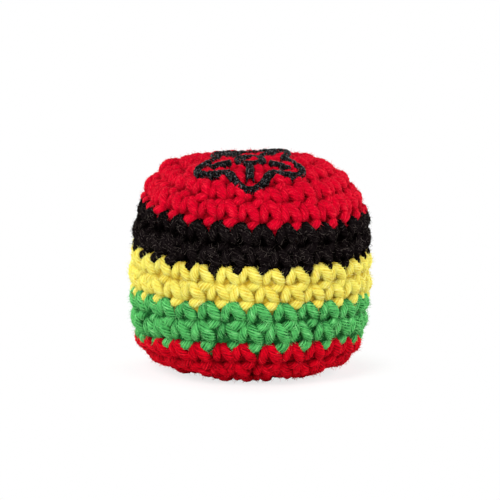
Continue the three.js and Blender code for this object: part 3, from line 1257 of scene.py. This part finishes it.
@dataclass
class PelletFill:
    """Plastic pellets: those settled in the pouch and the loose ones on top, in millimetres."""

    pouch: PelletPouch
    finish: PelletFinish = PelletFinish()
    radius: float = 2.0
    height: float = 2.8
    edge: float = 0.6
    segments: int = 10
    crease: float = 0.7
    spacing: float = 4.5
    stray: float = 0.1
    bed_headroom: float = 6.4
    clear_of_cloth: float = 1.0
    loose_pellets: int = 19
    loose_tilt: float = 0.08
    seed: int = 23

    def pellets(self, name: str, places: list[Matrix]) -> bpy.types.Mesh:
        """Makes one mesh of pellets.

        Args:
            name: Name of the mesh.
            places: Where each pellet lies and how it is turned.

        Returns:
            The mesh in metres.
        """
        grains = bmesh.new()
        for place in places:
            bmesh.ops.create_cone(
                grains,
                cap_ends=True,
                segments=self.segments,
                radius1=self.radius,
                radius2=self.radius,
                depth=self.height,
                matrix=place,
            )
        rims = [edge for edge in grains.edges if any(len(face.verts) > 4 for face in edge.link_faces)]
        bmesh.ops.bevel(
            grains, geom=rims, offset=self.edge, segments=1, profile=0.5, affect="EDGES", material=-1
        )
        mesh = to_mesh(name, grains)
        mesh.set_sharp_from_angle(angle=self.crease)
        return mesh

    def settled_places(self, draw: random.Random) -> list[Matrix]:
        """Places of the settled pellets: a close packing inside the pouch, each turned its own way."""
        reach = math.hypot(self.radius, self.height / 2 - self.edge)
        outline = self.pouch.outline(self.clear_of_cloth + reach)[::-1]
        top = self.pouch.top - self.bed_headroom - reach
        layer_gap = self.spacing * math.sqrt(2 / 3)
        row_gap = self.spacing * math.sqrt(3) / 2
        rows = math.ceil(self.pouch.shape.radius / row_gap)
        places = []
        for layer in range(int((top - outline[0][1]) / layer_gap) + 1):
            height = outline[0][1] + layer * layer_gap
            allowed = float(np.interp(height, outline[:, 1], outline[:, 0]))
            shift = layer % 2 * self.spacing / 2
            for row in range(-rows, rows + 1):
                for column in range(-rows, rows + 1):
                    across = (column + row % 2 / 2) * self.spacing + shift
                    behind = row * row_gap + shift / math.sqrt(3)
                    if math.hypot(across, behind) > allowed:
                        continue
                    even = (across, behind, height)
                    strayed = [value + draw.uniform(-self.stray, self.stray) for value in even]
                    turn = [draw.uniform(0, FULL_TURN) for _ in range(3)]
                    places.append(Matrix.LocRotScale(Vector(strayed), Euler(turn), None))
        return places

    def build(self) -> None:
        """Makes the settled pellets as one piece and each loose one as its own."""
        draw = random.Random(self.seed)
        material = self.finish.material()
        settled = self.pellets("settled_pellets", self.settled_places(draw))
        settle(mesh_piece("settled_pellets", settled, material), "pellet_plastic", "pellet_bed")
        for number in range(1, self.loose_pellets + 1):
            node = f"loose_pellet_{number:02d}"
            low, high = (Vector(corner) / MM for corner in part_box(node))
            tilts = [draw.uniform(-self.loose_tilt, self.loose_tilt) for _ in range(2)]
            place = Matrix.LocRotScale((low + high) / 2, Euler([*tilts, draw.random()]), None)
            pellet = self.pellets(node, [place])
            settle(mesh_piece(f"moulded_pellet_{number:02d}", pellet, material), "pellet_plastic", node)


@dataclass
class Studio:
    """Pale floor, soft lamps and the camera at the photograph's viewing angle, in millimetres and watts."""

    camera_distance: float = 570.0
    camera_elevation: float = 10.7
    focal_pixels: float = 2397.0
    base_row: float = 368.1
    sensor_width: float = 36.0
    floor_side: float = 4000.0
    paper: str = "#fafafa"
    shadow_radius: float = 25.0
    white_radius: float = 40.0
    shadow_white: float = 0.75
    world_level: float = 0.29
    aim_height: float = 25.0
    # Name, place, side and power of each lamp
    lamps: tuple[tuple[str, tuple[float, float, float], float, float], ...] = (
        ("key", (-350, -600, 600), 400, 5.9),
        ("fill", (450, -500, 350), 500, 2.3),
        ("left_rim", (-500, 350, 160), 400, 4.0),
        ("right_rim", (500, 350, 160), 400, 4.1),
    )

    def looked_at(self, add: AddNode) -> bpy.types.Node:
        """Tells rays of sight, straight or mirrored or through something, from those that gather light.

        Args:
            add: Adds a node to the tree.

        Returns:
            The node whose value is 1 for a ray of sight and 0 for any other.
        """
        rays = add("LightPath").outputs
        bent = {0: rays["Is Glossy Ray"], 1: rays["Is Transmission Ray"]}
        mirrored = add("Math", {"operation": "ADD"}, bent)
        return add("Math", {"operation": "ADD", "use_clamp": True}, {0: rays["Is Camera Ray"], 1: mirrored})

    def floor(self) -> None:
        """White paper that carries the bag's shadow."""
        plane = bmesh.new()
        bmesh.ops.create_grid(plane, x_segments=1, y_segments=1, size=self.floor_side / 2)
        material = new_material("white_paper")
        add = partial(add_node, material)
        paper = add("BsdfDiffuse", {"Color": linear(self.paper)})
        glow = add("Emission", {"Color": (1, 1, 1, 1), "Strength": 1.0})
        away = add("VectorMath", {"operation": "LENGTH"}, {0: add("TexCoord").outputs["Object"]})
        rim = {"From Min": self.shadow_radius * MM, "From Max": self.white_radius * MM}
        whiteness = add(
            "MapRange", {"interpolation_type": SMOOTH, **rim, "To Min": self.shadow_white}, {"Value": away}
        )
        share = add("Math", {"operation": "MULTIPLY"}, {0: self.looked_at(add), 1: whiteness})
        seen = add("MixShader", {}, {0: share, 1: paper, 2: glow})
        add("OutputMaterial", {}, {"Surface": seen})
        mesh_piece("floor", to_mesh("floor", plane), material)

    def world(self) -> None:
        """Even light from all round, seen as white."""
        world = bpy.data.worlds.new("studio")
        bpy.context.scene.world = world
        world.use_nodes = True
        background = world.node_tree.nodes["Background"]
        background.inputs["Color"].default_value = (1, 1, 1, 1)
        add = partial(add_node, world)
        level = add("MapRange", {"To Min": self.world_level}, {"Value": self.looked_at(add)})
        world.node_tree.links.new(level.outputs["Result"], background.inputs["Strength"])

    def lamp(self, name: str, place: tuple[float, float, float], side: float, energy: float) -> None:
        """Adds a soft box that faces the bag.

        Args:
            name: Name of the lamp.
            place: Its place in millimetres.
            side: Side of its square face in millimetres.
            energy: Its power in watts.
        """
        data = bpy.data.lights.new(name, "AREA")
        data.size = side * MM
        data.energy = energy
        at = Vector(place) * MM
        facing = (at - Vector((0, 0, self.aim_height * MM))).to_track_quat("Z", "Y")
        add_object(name, data).matrix_world = Matrix.Translation(at) @ facing.to_matrix().to_4x4()

    def camera(self) -> None:
        """Camera that looks a little down on the bag."""
        data = bpy.data.cameras.new("camera")
        data.sensor_width = self.sensor_width
        data.lens = self.sensor_width * self.focal_pixels / IMAGE_SIDE
        data.clip_end = self.floor_side * MM
        elevation = math.radians(self.camera_elevation)
        below_centre = math.atan((self.base_row - IMAGE_SIDE / 2) / self.focal_pixels)
        reach = self.camera_distance * MM
        camera = add_object("camera", data)
        camera.location = (0, -reach * math.cos(elevation), reach * math.sin(elevation))
        camera.rotation_euler = (math.pi / 2 - elevation + below_centre, 0, 0)
        bpy.context.scene.camera = camera

    def build(self) -> None:
        """Sets the studio up."""
        self.floor()
        self.world()
        for lamp in self.lamps:
            self.lamp(*lamp)
        self.camera()
        bpy.context.scene.view_settings.view_transform = "Standard"


def main() -> None:
    """Builds the footbag and its studio in order."""
    logging.basicConfig(level=logging.INFO, format="%(name)s: %(message)s")
    shape = BagShape()
    # Each yarn's colours in order: ridge; groove, painted shade between the plies and a little deep in;
    # fibre, paler fibres that are partly painted highlight; shadow, painted shade deep in the fabric
    finishes = {
        Stripe.CROWN: YarnFinish(
            "acrylic_yarn_red",
            "#d40026",
            "#7a000d",
            "#ff3a4c",
            "#2c0004",
            fibre_length=0.8,
            open_lay=0.45,
            turned_shade_share=0.85,
            lay_contrast=0.85,
            streak_share=0.5,
        ),
        Stripe.BLACK: YarnFinish(
            "acrylic_yarn_black",
            "#181314",
            "#020101",
            "#786d67",
            "#000000",
            lay_contrast=0.6,
            streak_share=0.15,
            lit_depth=0.0,
            turned_depth=1.25,
            turned_shade_share=0.95,
            gloss=0.0,
        ),
        Stripe.YELLOW: YarnFinish(
            "acrylic_yarn_yellow", "#eae46a", "#cfab24", "#fcfab6", "#6e4c02", lay_contrast=0.4
        ),
        Stripe.GREEN: YarnFinish(
            "acrylic_yarn_green",
            "#5cc268",
            "#0a5020",
            "#a8f0a6",
            "#011204",
            lay_contrast=0.7,
            turned_shade_share=0.85,
        ),
        Stripe.SOLE: YarnFinish(
            "acrylic_yarn_red_sole",
            "#dc001d",
            "#74000a",
            "#ff2a40",
            "#2a0003",
            lay_contrast=0.6,
            turned_shade_share=0.85,
        ),
    }
    matted = {
        "yarn": replace(CrochetStripe.yarn, lobe_share=0.07),
        "ruffle_height": 0.17,
        "fibres_per_piece": 14000,
    }
    for number, stripe in enumerate(Stripe):
        worn = matted if stripe is Stripe.CROWN else {}
        CrochetStripe(stripe, shape, finishes[stripe], number, **worn).build()
    Rosette(shape).build()
    pouch = PelletPouch(shape)
    pouch.build()
    # Tie thread colours in order: ridge, painted shade between the plies, paler fibres, painted shade deep in
    PouchTie(pouch, YarnFinish("polyester_thread_red", "#c01020", "#70060e", "#e04a50", "#540008")).build()
    PelletFill(pouch).build()
    Studio().build()


if __name__ == "__main__":
    main()
